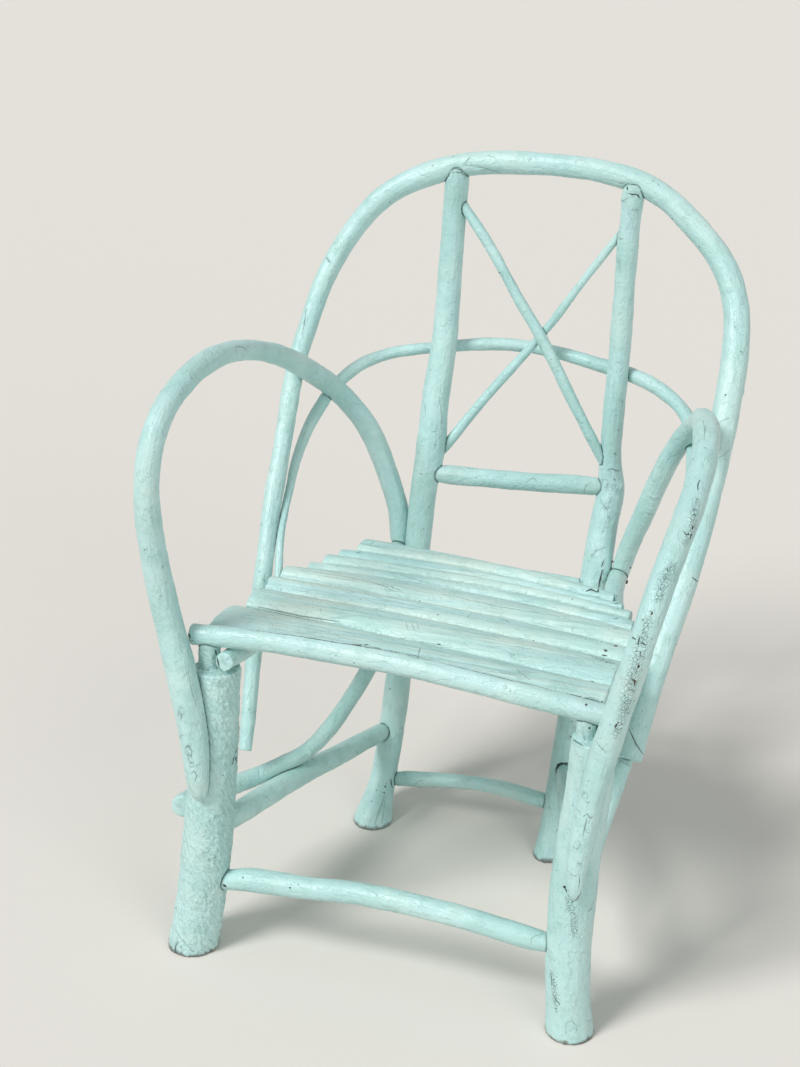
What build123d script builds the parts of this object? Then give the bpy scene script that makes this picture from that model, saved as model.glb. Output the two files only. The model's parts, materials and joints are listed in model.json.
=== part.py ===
from build123d import *
import os

# A rustic twig armchair. Debarked round poles are whittled, bent, let into one another and
# nailed, and the seat is a row of split slats. The chair faces -Y and stands on Z = 0.
# "left" and "right" are as seen by someone who stands in front of the chair.
#
# Every pole is a list of stations along its centre line, (x, y, z, swell), in millimetres.
# The radius at a station is the pole's own radius times its swell, so that one number
# thickens or thins a whole pole while its knots, tapers and whittled ends stay in place.

# ---- driving dimensions, mm ----------------------------------------------------------
FRONT_LEG_RADIUS = 30.0
BACK_POST_RADIUS = 18.0
NECK_RADIUS = 13.5          # what is left of a front leg above its shoulder
NECK_HEIGHT = 46.0          # from the shoulder up to the middle of the seat rod
NECK_ROOT = 20.0
LEFT_NECK_OFFSET = -9.0
RIGHT_NECK_OFFSET = -9.0
SHOULDER_HEIGHT = 389.0
SEAT_ROD_RADIUS = 13.5
SIDE_RAIL_RADIUS = 14.0
BACK_RAIL_RADIUS = 12.0
STRETCHER_RADIUS = 15.0
BACK_STRETCHER_RADIUS = 11.5
BRACE_RADIUS = 12.0
ARM_RADIUS = 16.0
MAIN_HOOP_RADIUS = 17.0
INNER_HOOP_RADIUS = 8.0
CROSS_RAIL_RADIUS = 13.0
X_BRACE_RADIUS = 6.5

RAIL_TOP_AT_FRONT = 418.0   # the seat's bearing line, over the side rails at y = 30
SEAT_FALL = 0.098           # how much that line drops for each mm towards the back
SLAT_GAP = 1.5
BELOW_FLOOR = 40.0          # poles that stand on the floor are drawn this far past it
RING_SPACING = 38.0         # distance between the circles that a pole is lofted through

NAIL_RADIUS = 1.4
NAIL_HEAD_RADIUS = 3.0
NAIL_HEAD_HEIGHT = 1.2
NAIL_BITE = 8.0             # how far a nail goes on past the middle of the second pole
SEAT_NAIL_LENGTH = 36.0
NAIL_PLACE_ACROSS = 0.45    # where a seat nail stands between a slat's front and back
NAIL_HEAD_RISE = 0.97       # height of its head, as a share of the slat's crown

# ---- poles: stations (x, y, z, swell) --------------------------------------------------
FRONT_LEFT_LEG = [
    (-259, -6, -BELOW_FLOOR, 1.12), (-252, 0, 0, 1.06), (-246, 7, 50, 1.05), (-240, 13, 110, 1.05),
    (-236, 22, 190, 1.04), (-233, 33, 290, 1.00), (-233, 44, 380, 0.96), (-233, 46, 410, 0.94),
]
FRONT_RIGHT_LEG = [
    (254, -4, -BELOW_FLOOR, 1.04), (250, 2, 0, 1.00), (244, 6, 50, 0.93), (239, 14, 120, 0.91),
    (238, 22, 190, 0.94), (240, 30, 260, 0.94), (244, 38, 330, 0.91), (244, 44, 380, 0.90),
    (244, 47, 410, 0.90),
]
BACK_LEFT_POST = [
    (-128, 330, -BELOW_FLOOR, 1.90), (-130, 366, 0, 1.55), (-131, 387, 22, 1.24), (-131, 405, 42, 1.08),
    (-130, 426, 85, 1.06),
    (-130, 445, 130, 1.03), (-130, 463, 190, 1.03), (-129, 495, 275, 1.00), (-128, 527, 360, 1.01),
    (-128, 548, 440, 1.05), (-125, 565, 505, 1.19), (-127, 588, 572, 1.10), (-126, 613, 640, 1.02),
    (-127, 631, 710, 0.97), (-127, 640, 785, 0.95), (-124, 639, 862, 0.94), (-122, 636, 892, 0.84),
    (-122, 636, 902, 0.46),
]
BACK_RIGHT_POST = [
    (131, 348, -BELOW_FLOOR, 1.36), (131, 368, 0, 1.20), (131, 388, 35, 1.03), (131, 404, 75, 1.00),
    (131, 423, 125, 1.00), (131, 446, 170, 1.00), (129, 500, 250, 1.08), (128, 556, 330, 1.18),
    (128, 583, 385, 1.18), (130, 604, 435, 1.13), (131, 616, 462, 1.10), (127, 619, 495, 0.94),
    (125, 621, 530, 0.83), (125, 624, 600, 0.84), (125, 631, 670, 0.84), (124, 634, 745, 0.82),
    (124, 632, 825, 0.82), (126, 631, 888, 0.82), (126, 631, 900, 0.50),
]
FRONT_SEAT_ROD = [
    (-264, 40, 430, 0.98), (-225, 40, 434, 0.97), (-150, 40, 440, 1.00), (-60, 40, 442, 1.04),
    (40, 40, 439, 1.00), (130, 40, 433, 1.01), (200, 40, 427, 1.00), (262, 40, 422, 0.97),
]
LEFT_SEAT_RAIL = [
    (-215, 24, 408, 0.88), (-211, 90, 401, 0.98), (-200, 230, 384, 1.03), (-184, 370, 370, 1.00),
    (-165, 480, 360, 0.97), (-152, 562, 352, 0.92),
]
RIGHT_SEAT_RAIL = [
    (262, 24, 404, 0.90), (252, 90, 398, 1.00), (226, 230, 384, 1.03), (197, 370, 370, 0.98),
    (173, 480, 360, 0.96), (159, 585, 350, 0.92),
]
BACK_SEAT_RAIL = [
    (-124, 520, 332, 0.78), (-104, 522, 333, 0.94), (-50, 530, 335, 1.03), (10, 540, 336, 1.05),
    (60, 548, 334, 1.02), (104, 555, 331, 0.94), (124, 558, 330, 0.78),
]
FRONT_STRETCHER = [
    (-228, 12, 91, 0.46), (-212, 12, 99, 0.80), (-194, 12, 105, 0.97), (-161, 11, 111, 1.03),
    (-106, 10, 116, 0.98), (-46, 9, 124, 0.94), (50, 9, 127, 0.94), (152, 10, 119, 0.94),
    (182, 11, 115, 0.95), (205, 12, 113, 0.86), (228, 13, 112, 0.60),
]
BACK_STRETCHER = [
    (-126, 417, 37, 0.78), (-107, 412, 45, 0.91), (-72, 408, 54, 0.95), (-20, 406, 63, 0.90),
    (46, 404, 68, 0.91), (100, 403, 63, 0.97), (126, 404, 61, 0.80),
]
LEFT_SIDE_STRETCHER = [
    (-232, 40, 164, 0.86), (-224, 68, 160, 1.02), (-205, 150, 151, 1.02), (-186, 240, 138, 0.99),
    (-163, 330, 125, 0.95), (-146, 396, 115, 0.88), (-136, 430, 111, 0.70),
]
RIGHT_SIDE_STRETCHER = [
    (234, 40, 166, 0.80), (226, 66, 163, 0.96), (206, 150, 152, 1.00), (184, 240, 140, 0.98),
    (162, 320, 127, 0.95), (144, 386, 117, 0.88), (135, 420, 113, 0.66),
]
LEFT_BRACE = [
    (-276, 26, 187, 1.19), (-274, 60, 180, 1.16), (-262, 98, 172, 1.09), (-240, 150, 163, 1.02),
    (-212, 200, 163, 0.97), (-186, 244, 170, 0.94), (-165, 300, 195, 0.98), (-151, 372, 228, 1.00),
    (-142, 432, 269, 0.94), (-137, 474, 312, 0.90), (-134, 500, 352, 0.84),
]
RIGHT_BRACE = [
    (240, 78, 170, 0.98), (240, 104, 182, 1.02), (241, 134, 198, 1.04), (245, 174, 226, 1.02),
    (251, 214, 263, 0.99), (249, 254, 308, 0.96), (240, 284, 344, 0.93), (228, 302, 374, 0.90),
]
LEFT_ARM = [
    (-236, -9, 228, 0.36), (-236, -9, 239, 0.70), (-238, -8, 257, 0.90), (-243, -2, 295, 1.09),
    (-256, 4, 358, 1.19), (-272, 12, 412, 1.16), (-289, 13, 485, 1.10), (-298, 5, 560, 1.06),
    (-302, 3, 610, 1.00), (-302, 6, 655, 0.97), (-300, 24, 696, 0.95), (-299, 70, 723, 0.94),
    (-294, 150, 740, 0.92), (-289, 260, 725, 0.86), (-285, 370, 685, 0.87), (-276, 469, 633, 0.96),
    (-253, 528, 584, 0.96), (-216, 548, 531, 0.98), (-186, 551, 466, 0.95), (-165, 547, 411, 0.93),
    (-156, 537, 360, 0.84),
]
RIGHT_ARM = [
    (247, -15, 203, 0.30), (247, -16, 213, 0.56), (247, -15, 232, 0.76), (248, -12, 265, 0.90),
    (254, -2, 330, 1.00), (265, 4, 395, 1.04), (281, 1, 470, 1.02), (297, 4, 545, 0.99),
    (308, 42, 608, 0.97), (316, 100, 648, 0.97), (318, 162, 675, 0.99), (315, 217, 697, 1.00),
    (305, 274, 702, 0.98), (287, 361, 679, 0.94), (272, 457, 641, 0.91), (243, 524, 593, 0.90),
    (216, 546, 533, 0.90), (194, 551, 466, 0.88), (174, 563, 402, 0.86), (160, 572, 345, 0.83),
]
MAIN_BACK_HOOP = [
    (-242, 153, 206, 0.56), (-250, 190, 266, 0.61), (-257, 220, 314, 0.66), (-268, 276, 390, 0.71),
    (-283, 352, 480, 0.73), (-293, 425, 565, 0.74), (-300, 488, 641, 0.76), (-297, 522, 682, 0.77),
    (-288, 560, 737, 0.82), (-264, 595, 794, 0.86), (-227, 617, 844, 0.93), (-170, 633, 880, 1.00),
    (-100, 642, 902, 0.93), (-10, 645, 910, 0.91), (77, 645, 909, 0.91), (136, 641, 898, 0.94),
    (184, 632, 875, 0.95), (227, 618, 843, 0.96), (262, 602, 808, 0.99), (284, 579, 769, 1.02),
    (295, 545, 716, 1.05), (298, 500, 655, 1.06), (296, 420, 560, 1.04), (287, 340, 466, 1.04),
    (277, 285, 403, 1.02), (268, 238, 340, 0.99), (261, 196, 278, 0.97),
]
INNER_BACK_HOOP = [
    (-243, 244, 352, 0.68), (-247, 283, 400, 0.69), (-257, 314, 434, 0.71), (-269, 372, 481, 0.75),
    (-277, 438, 526, 0.88), (-272, 500, 567, 1.04), (-256, 554, 597, 1.08), (-229, 599, 614, 1.07),
    (-189, 625, 624, 1.08), (-133, 636, 634, 1.04), (-60, 656, 642, 1.12), (20, 659, 641, 1.16),
    (82, 652, 635, 1.26), (128, 646, 629, 1.28), (173, 624, 625, 1.31), (211, 597, 615, 1.27),
    (239, 564, 601, 1.22), (256, 520, 576, 1.14), (266, 460, 540, 1.10), (266, 390, 492, 1.08),
    (258, 322, 440, 1.06), (252, 284, 400, 1.04), (247, 250, 362, 1.02),
]
BACK_CROSS_RAIL = [
    (-118, 553, 471, 0.80), (-104, 557, 471, 0.95), (-86, 562, 470, 1.03), (-30, 575, 468, 1.05),
    (40, 593, 466, 1.02), (90, 605, 466, 1.04), (108, 610, 465, 0.98), (124, 615, 466, 0.72),
]
X_BRACE_FRONT = [
    (-115, 638, 846, 1.05), (-97, 634, 826, 1.18), (-64, 625, 787, 1.19), (-22, 619, 726, 1.22),
    (10, 616, 682, 1.24), (60, 612, 600, 1.21), (99, 611, 535, 1.20), (118, 614, 502, 1.18),
]
X_BRACE_REAR = [
    (117, 636, 836, 0.80), (100, 635, 810, 0.86), (52, 629, 735, 0.92), (19, 625, 683, 0.98),
    (-33, 612, 612, 1.09), (-80, 590, 546, 1.13), (-106, 574, 507, 1.12), (-120, 570, 490, 1.12),
]

# ---- seat: split slats, front to back ---------------------------------------------------
# The joints between slats, as y at the left end, at mid seat and at the right end.
JOINT_STATIONS_X = (-240, -20, 240)
SLAT_JOINTS = [
    (56, 56, 56), (162, 143, 116), (228, 216, 194), (276, 271, 243), (318, 335, 299),
    (352, 366, 336), (388, 393, 360), (420, 421, 378), (480, 461, 399),
]
SLAT_ENDS = [                               # x of each slat's left and right end
    (-256, 250), (-245, 246), (-246, 246), (-243, 246), (-222, 232), (-212, 221), (-203, 206),
    (-186, 189),
]
SLAT_CROWNS = [21, 24, 22, 23, 19, 20, 19, 22]      # thickness at the crown
SLAT_BEDDING = 2.0                                  # how far a slat beds into the rails
SLAT_RIDGE = [                                      # across the slat, share of its crown
    (0.0, 0.42), (0.18, 0.86), (0.42, 1.0), (0.72, 0.90), (1.0, 0.42),
]


# ---- nails ------------------------------------------------------------------------------
# For each nail in the frame: a point in the middle of the outer pole, that pole's radius there,
# a point in the middle of the pole behind it, and the pieces that the nail goes through.
FRAME_NAILS = [
    ((-124, 641, 898), 16.0, (-124, 638, 870), ["main_back_hoop", "back_left_post"]),
    ((126, 642, 901), 15.8, (126, 631, 868), ["main_back_hoop", "back_right_post"]),
    ((-279, 459, 639), 15.2, (-300, 483, 635), ["left_arm", "main_back_hoop"]),
    ((273, 452, 643), 14.6, (298, 487, 641), ["right_arm", "main_back_hoop"]),
    ((-268, 279, 394), 12.1, (-242, 285, 402), ["main_back_hoop", "inner_back_hoop", "seat_slat_4"]),
    ((277, 286, 404), 17.3, (246, 286, 402), ["main_back_hoop", "inner_back_hoop", "seat_slat_4"]),
    ((-133, 636, 634), 8.4, (-126, 613, 637), ["inner_back_hoop", "back_left_post"]),
    ((128, 646, 629), 10.2, (126, 628, 629), ["inner_back_hoop", "back_right_post"]),
    ((13, 616, 677), 8.0, (15, 625, 676), ["x_brace_front", "x_brace_rear"]),
    ((-158, 540, 377), 13.8, (-128, 533, 377), ["left_arm", "back_left_post"]),
    ((166, 568, 370), 13.5, (129, 577, 370), ["right_arm", "back_right_post"]),
    ((-239, -6, 264), 14.8, (-235, 20, 262), ["left_arm", "front_left_leg"]),
    ((-249, 1, 322), 18.0, (-234, 26, 322), ["left_arm", "front_left_leg"]),
    ((247, -14, 236), 12.4, (239, 18, 236), ["right_arm", "front_right_leg"]),
    ((248, -11, 276), 14.6, (240, 22, 276), ["right_arm", "front_right_leg"]),
    ((-241, 40, 433), 13.2, (-241, 42, 408), ["front_seat_rod", "front_left_leg"]),
    ((235, 40, 424), 13.3, (235, 42, 400), ["front_seat_rod", "front_right_leg"]),
    ((-277, 42, 186), 14.9, (-237, 27, 188), ["left_brace", "front_left_leg"]),
    ((-187, 242, 170), 11.3, (-185, 244, 138), ["left_brace", "left_side_stretcher"]),
    ((-134, 494, 345), 10.2, (-128, 522, 345), ["left_brace", "back_left_post"]),
    ((240, 92, 176), 12.0, (222, 92, 160), ["right_brace", "right_side_stretcher"]),
    ((233, 296, 362), 11.0, (213, 300, 378), ["right_brace", "right_seat_rail"]),
    ((-159, 527, 356), 13.2, (-128, 527, 356), ["left_seat_rail", "back_left_post"]),
    ((166, 552, 353), 13.2, (129, 566, 353), ["right_seat_rail", "back_right_post"]),
]


def unit(vector):
    return vector / vector.length


def eased(start, end, share):
    """Go from start to end with no slope at either, so that swells blend into each other."""
    return start + (end - start) * share * share * (3 - 2 * share)


def pole(stations, radius):
    """A round pole lofted through circles that stand square to its centre line."""
    points = [Vector(x, y, z) for x, y, z, swell in stations]
    centre_line = Spline(points)
    reaches = [0.0]
    for before, after in zip(points, points[1:]):
        reaches.append(reaches[-1] + (after - before).length)
    tangents = [centre_line.tangent_at(reach / reaches[-1]) for reach in reaches]
    axes = [Vector(1, 0, 0), Vector(0, 1, 0), Vector(0, 0, 1)]
    reference = min(axes, key=lambda axis: max(abs(axis.dot(t)) for t in tangents))
    rings = []
    for i in range(len(stations) - 1):
        span = reaches[i + 1] - reaches[i]
        steps = max(1, round(span / RING_SPACING))
        last = steps + 1 if i == len(stations) - 2 else steps
        for step in range(last):
            share = step / steps
            reach = (reaches[i] + share * span) / reaches[-1]
            swell = eased(stations[i][3], stations[i + 1][3], share)
            tangent = centre_line.tangent_at(reach)
            side = unit(reference - tangent * reference.dot(tangent))
            place = Plane(origin=centre_line.position_at(reach), x_dir=side, z_dir=tangent)
            rings.append(place * Circle(radius * swell))
    return loft(rings)


def standing(solid):
    """Saw off what is below the floor, so that the pole stands on a flat foot."""
    return split(solid, bisect_by=Plane.XY, keep=Keep.TOP)


def front_leg(stations, neck_offset):
    """A thick leg with a level shoulder and a narrower neck that carries the seat rod."""
    post = standing(pole(stations, FRONT_LEG_RADIUS))
    shoulder = Plane.XY.offset(SHOULDER_HEIGHT)
    post = split(post, bisect_by=shoulder, keep=Keep.BOTTOM)
    x, y, z, swell = stations[-1]
    neck_foot = Location((x + neck_offset, y - 4, SHOULDER_HEIGHT - NECK_ROOT))
    neck = neck_foot * extrude(Circle(NECK_RADIUS), NECK_ROOT + NECK_HEIGHT)
    return post + neck


def rail_top(y):
    """Height of the seat's bearing line, which falls towards the back."""
    return RAIL_TOP_AT_FRONT - SEAT_FALL * (y - FRONT_SEAT_ROD[0][1])


def joint_y(joint, x):
    """Where a joint between two slats lies at x, on a curve through its three given points."""
    left, middle, right = SLAT_JOINTS[joint]
    a, b, c = JOINT_STATIONS_X
    from_left = left * (x - b) * (x - c) / ((a - b) * (a - c))
    from_middle = middle * (x - a) * (x - c) / ((b - a) * (b - c))
    from_right = right * (x - a) * (x - b) / ((c - a) * (c - b))
    return from_left + from_middle + from_right


def slat(index):
    """One split slat: flat below, where it beds on the rails, and crowned above."""
    left, right = SLAT_ENDS[index]
    sections = []
    for x in (left, (left + right) / 2, right):
        front = joint_y(index, x) + SLAT_GAP / 2
        back = joint_y(index + 1, x) - SLAT_GAP / 2
        width = back - front
        crown = SLAT_CROWNS[index] * (1.0 if left < x < right else 0.92)
        ridge = [Vector(x, front + across * width, 0) for across, rise in SLAT_RIDGE]
        ridge = [
            Vector(x, point.Y, rail_top(point.Y) + rise * crown)
            for point, (across, rise) in zip(ridge, SLAT_RIDGE)
        ]
        top = Spline(ridge)
        low_front = Vector(x, front, rail_top(front) - SLAT_BEDDING)
        low_back = Vector(x, back, rail_top(back) - SLAT_BEDDING)
        sides = [Line(top @ 1, low_back), Line(low_back, low_front), Line(low_front, top @ 0)]
        sections.append(Face(Wire([top, *sides])))
    return loft(sections)


def nail(head, direction, length):
    """A wire nail: its head lies on the surface at head, its shank runs along direction."""
    place = Plane(origin=head, z_dir=direction)
    shank = place * extrude(Circle(NAIL_RADIUS), length)
    cap = place * extrude(Circle(NAIL_HEAD_RADIUS), NAIL_HEAD_HEIGHT)
    return shank + cap


def frame_nail(outer, outer_radius, inner):
    """A nail through the middle of one pole, near outer, into its neighbour, near inner."""
    direction = unit(Vector(*inner) - Vector(*outer))
    head = Vector(*outer) - direction * (outer_radius - NAIL_HEAD_HEIGHT / 2)
    return nail(head, direction, (Vector(*inner) - head).length + NAIL_BITE)


def rail_x(rail, y):
    """Where a side rail's centre line lies at y."""
    for before, after in zip(rail, rail[1:]):
        if y <= after[1]:
            break
    share = (y - before[1]) / (after[1] - before[1])
    return before[0] + share * (after[0] - before[0])


def seat_nail(index, rail):
    """The nail that holds one slat down on one side rail, a little ahead of its middle."""
    x = 0
    for refinement in range(3):
        front = joint_y(index, x)
        back = joint_y(index + 1, x)
        y = front + NAIL_PLACE_ACROSS * (back - front)
        x = rail_x(rail, y)
    head = Vector(x, y, rail_top(y) + NAIL_HEAD_RISE * SLAT_CROWNS[index])
    return nail(head, unit(Vector(0, -SEAT_FALL, -1)), SEAT_NAIL_LENGTH)


def cut(solid, tool):
    """Cut one piece to fit round another, and keep its main body."""
    if not solid.bounding_box().overlaps(tool.bounding_box()):
        return solid
    remains = (solid - tool).solids()
    return max(remains, key=lambda body: body.volume)


# ---- the pieces as drawn, before they are let into one another ------------------------------
pieces = {
    "front_left_leg": front_leg(FRONT_LEFT_LEG, LEFT_NECK_OFFSET),
    "front_right_leg": front_leg(FRONT_RIGHT_LEG, RIGHT_NECK_OFFSET),
    "back_left_post": standing(pole(BACK_LEFT_POST, BACK_POST_RADIUS)),
    "back_right_post": standing(pole(BACK_RIGHT_POST, BACK_POST_RADIUS)),
    "front_seat_rod": pole(FRONT_SEAT_ROD, SEAT_ROD_RADIUS),
    "left_seat_rail": pole(LEFT_SEAT_RAIL, SIDE_RAIL_RADIUS),
    "right_seat_rail": pole(RIGHT_SEAT_RAIL, SIDE_RAIL_RADIUS),
    "back_seat_rail": pole(BACK_SEAT_RAIL, BACK_RAIL_RADIUS),
    "front_stretcher": pole(FRONT_STRETCHER, STRETCHER_RADIUS),
    "back_stretcher": pole(BACK_STRETCHER, BACK_STRETCHER_RADIUS),
    "left_side_stretcher": pole(LEFT_SIDE_STRETCHER, STRETCHER_RADIUS),
    "right_side_stretcher": pole(RIGHT_SIDE_STRETCHER, STRETCHER_RADIUS),
    "left_brace": pole(LEFT_BRACE, BRACE_RADIUS),
    "right_brace": pole(RIGHT_BRACE, BRACE_RADIUS),
    "left_arm": pole(LEFT_ARM, ARM_RADIUS),
    "right_arm": pole(RIGHT_ARM, ARM_RADIUS),
    "main_back_hoop": pole(MAIN_BACK_HOOP, MAIN_HOOP_RADIUS),
    "inner_back_hoop": pole(INNER_BACK_HOOP, INNER_HOOP_RADIUS),
    "back_cross_rail": pole(BACK_CROSS_RAIL, CROSS_RAIL_RADIUS),
    "x_brace_front": pole(X_BRACE_FRONT, X_BRACE_RADIUS),
    "x_brace_rear": pole(X_BRACE_REAR, X_BRACE_RADIUS),
}
slats = [f"seat_slat_{index + 1}" for index in range(len(SLAT_ENDS))]
for index, name in enumerate(slats):
    pieces[name] = slat(index)

# ---- joinery: each named piece is cut to fit round the ones listed after it -----------------
FITS = {
    # sockets for the rungs, and necks saddled under the seat rod
    "front_left_leg": ["front_seat_rod", "left_seat_rail", "front_stretcher", "left_side_stretcher"],
    "front_right_leg": ["front_seat_rod", "right_seat_rail", "front_stretcher", "right_side_stretcher"],
    # sockets, and tops coped under the hoop
    "back_left_post": [
        "left_side_stretcher", "back_stretcher", "back_seat_rail", "back_cross_rail",
        "x_brace_front", "x_brace_rear", "main_back_hoop",
    ],
    "back_right_post": [
        "right_side_stretcher", "back_stretcher", "back_seat_rail", "back_cross_rail",
        "x_brace_front", "x_brace_rear", "main_back_hoop",
    ],
    "x_brace_rear": ["x_brace_front"],
    # flats where the slats bed, and a hollow where the rail is nailed to its post
    "left_seat_rail": ["front_seat_rod", "back_left_post", *slats],
    "right_seat_rail": ["front_seat_rod", "back_right_post", *slats],
    "inner_back_hoop": ["main_back_hoop", "back_left_post", "back_right_post", *slats],
    "left_brace": ["front_left_leg", "left_side_stretcher", "back_left_post"],
    "right_brace": ["front_right_leg", "right_side_stretcher", "right_seat_rail", "main_back_hoop", *slats],
    # long scarfs down the front legs, notches at the hoops, and ends cut to the rail and the post
    "left_arm": [
        "front_left_leg", "front_seat_rod", "main_back_hoop", "inner_back_hoop", "back_left_post",
        "left_seat_rail", *slats,
    ],
    "right_arm": [
        "front_right_leg", "front_seat_rod", "main_back_hoop", "inner_back_hoop", "back_right_post",
        "right_seat_rail", *slats,
    ],
}
for name, neighbours in FITS.items():
    for neighbour in neighbours:
        pieces[name] = cut(pieces[name], pieces[neighbour])

# ---- nails, each in the hole that it makes ---------------------------------------------------
frame_nails = []
for outer, outer_radius, inner, held in FRAME_NAILS:
    driven = frame_nail(outer, outer_radius, inner)
    frame_nails.append(driven)
    for name in held:
        pieces[name] = cut(pieces[name], driven)
seat_nails = []
for index, slat_name in enumerate(slats):
    for rail_name, rail in (("left_seat_rail", LEFT_SEAT_RAIL), ("right_seat_rail", RIGHT_SEAT_RAIL)):
        driven = seat_nail(index, rail)
        seat_nails.append(driven)
        pieces[slat_name] = cut(pieces[slat_name], driven)
        pieces[rail_name] = cut(pieces[rail_name], driven)
pieces["frame_nails"] = Compound(children=frame_nails)
pieces["seat_nails"] = Compound(children=seat_nails)

# ---- the shared frame: origin on the floor, under the middle of the whole chair --------------
box = Compound(children=[Compound(solid.wrapped) for solid in pieces.values()]).bounding_box()
to_frame = Location((-box.center().X, -box.center().Y, -box.min.Z))
os.makedirs("parts", exist_ok=True)
for name, solid in pieces.items():
    export_step(to_frame * solid, f"parts/{name}.step")
print("the drawing's origin lies at", to_frame.position)
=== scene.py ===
import json
import math

import bmesh
import bpy
import numpy as np
from mathutils import Matrix, Vector
from mathutils.bvhtree import BVHTree


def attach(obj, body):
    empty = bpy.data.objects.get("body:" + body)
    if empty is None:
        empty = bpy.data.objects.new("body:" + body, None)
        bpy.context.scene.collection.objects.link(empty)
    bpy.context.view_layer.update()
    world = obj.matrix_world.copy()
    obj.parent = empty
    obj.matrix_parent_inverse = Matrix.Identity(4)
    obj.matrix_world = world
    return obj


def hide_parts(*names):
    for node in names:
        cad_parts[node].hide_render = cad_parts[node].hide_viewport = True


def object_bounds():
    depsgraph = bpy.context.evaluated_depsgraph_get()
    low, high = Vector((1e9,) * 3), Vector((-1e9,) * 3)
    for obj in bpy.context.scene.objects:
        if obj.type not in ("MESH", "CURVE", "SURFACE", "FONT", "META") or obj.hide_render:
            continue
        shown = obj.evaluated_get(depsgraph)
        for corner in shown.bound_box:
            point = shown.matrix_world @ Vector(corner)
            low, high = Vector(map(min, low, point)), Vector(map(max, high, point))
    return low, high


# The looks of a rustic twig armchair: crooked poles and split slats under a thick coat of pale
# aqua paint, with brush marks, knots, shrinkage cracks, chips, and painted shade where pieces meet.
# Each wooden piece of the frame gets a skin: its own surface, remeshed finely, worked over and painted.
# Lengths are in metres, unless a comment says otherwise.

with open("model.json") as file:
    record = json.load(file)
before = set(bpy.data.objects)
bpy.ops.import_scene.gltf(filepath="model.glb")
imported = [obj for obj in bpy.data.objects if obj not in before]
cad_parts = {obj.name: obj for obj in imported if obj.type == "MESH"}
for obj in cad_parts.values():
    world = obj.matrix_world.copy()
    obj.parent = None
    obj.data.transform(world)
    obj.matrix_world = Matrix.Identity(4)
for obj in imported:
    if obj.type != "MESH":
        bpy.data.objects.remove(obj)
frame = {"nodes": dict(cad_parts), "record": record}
cad_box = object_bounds()
nodes = frame["nodes"]
NAILS = ["frame_nails", "seat_nails"]
SLATS = sorted(name for name in nodes if name.startswith("seat_slat"))
POLES = sorted(name for name in nodes if name not in NAILS and name not in SLATS)
BARK = {"front_left_leg": 1.0, "front_right_leg": 0.22, "left_arm": 0.10}     # how rough the bark is

# ---- camera, as the photograph was taken ----
PHOTO_WIDTH = 800
PHOTO_HEIGHT = 1067
SENSOR = 36.0                           # mm, along the photograph's long side
LENS = 63.97                            # mm
PIXELS = LENS / SENSOR * PHOTO_HEIGHT   # the lens's length in pixels of the photograph
VIEW_AZIMUTH = math.radians(17.638)     # how far the camera stands round to the chair's right
VIEW_PITCH = math.radians(24.106)       # how far it looks down
VIEW_ROLL = math.radians(1.798)         # how far it is tilted to one side
CAMERA_FROM_FEET = Vector((0.6055, -1.8590, 1.5020))    # from midway between the front feet


def foot(name):
    """Where a foot stands on the floor."""
    mount = next(mount for mount in frame["record"]["mounts"] if mount["name"] == name)
    return Vector(mount["pos_m"])


feet_middle = (foot("front_left_foot") + foot("front_right_foot")) / 2
camera_place = feet_middle + CAMERA_FROM_FEET


def camera_axes():
    """The camera's right, up and forward directions."""
    forward = Vector((
        -math.sin(VIEW_AZIMUTH) * math.cos(VIEW_PITCH),
        math.cos(VIEW_AZIMUTH) * math.cos(VIEW_PITCH),
        -math.sin(VIEW_PITCH),
    ))
    level_right = Vector((math.cos(VIEW_AZIMUTH), math.sin(VIEW_AZIMUTH), 0))
    level_up = level_right.cross(forward)
    right = math.cos(VIEW_ROLL) * level_right + math.sin(VIEW_ROLL) * level_up
    up = -math.sin(VIEW_ROLL) * level_right + math.cos(VIEW_ROLL) * level_up
    return right, up, forward


def make_camera():
    """A camera with the photograph's place, direction and lens."""
    right, up, forward = camera_axes()
    data = bpy.data.cameras.new("camera")
    data.sensor_fit = "AUTO"
    data.sensor_width = SENSOR
    data.lens = LENS
    camera = bpy.data.objects.new("camera", data)
    bpy.context.scene.collection.objects.link(camera)
    turn = Matrix((right, up, -forward)).transposed()
    camera.matrix_world = Matrix.Translation(camera_place) @ turn.to_4x4()
    bpy.context.scene.camera = camera


def sight(pixel):
    """The direction from the camera through a pixel of the photograph."""
    right, up, forward = camera_axes()
    across = (pixel[0] - PHOTO_WIDTH / 2) / PIXELS
    above = (PHOTO_HEIGHT / 2 - pixel[1]) / PIXELS
    return (forward + right * across + up * above).normalized()


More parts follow.
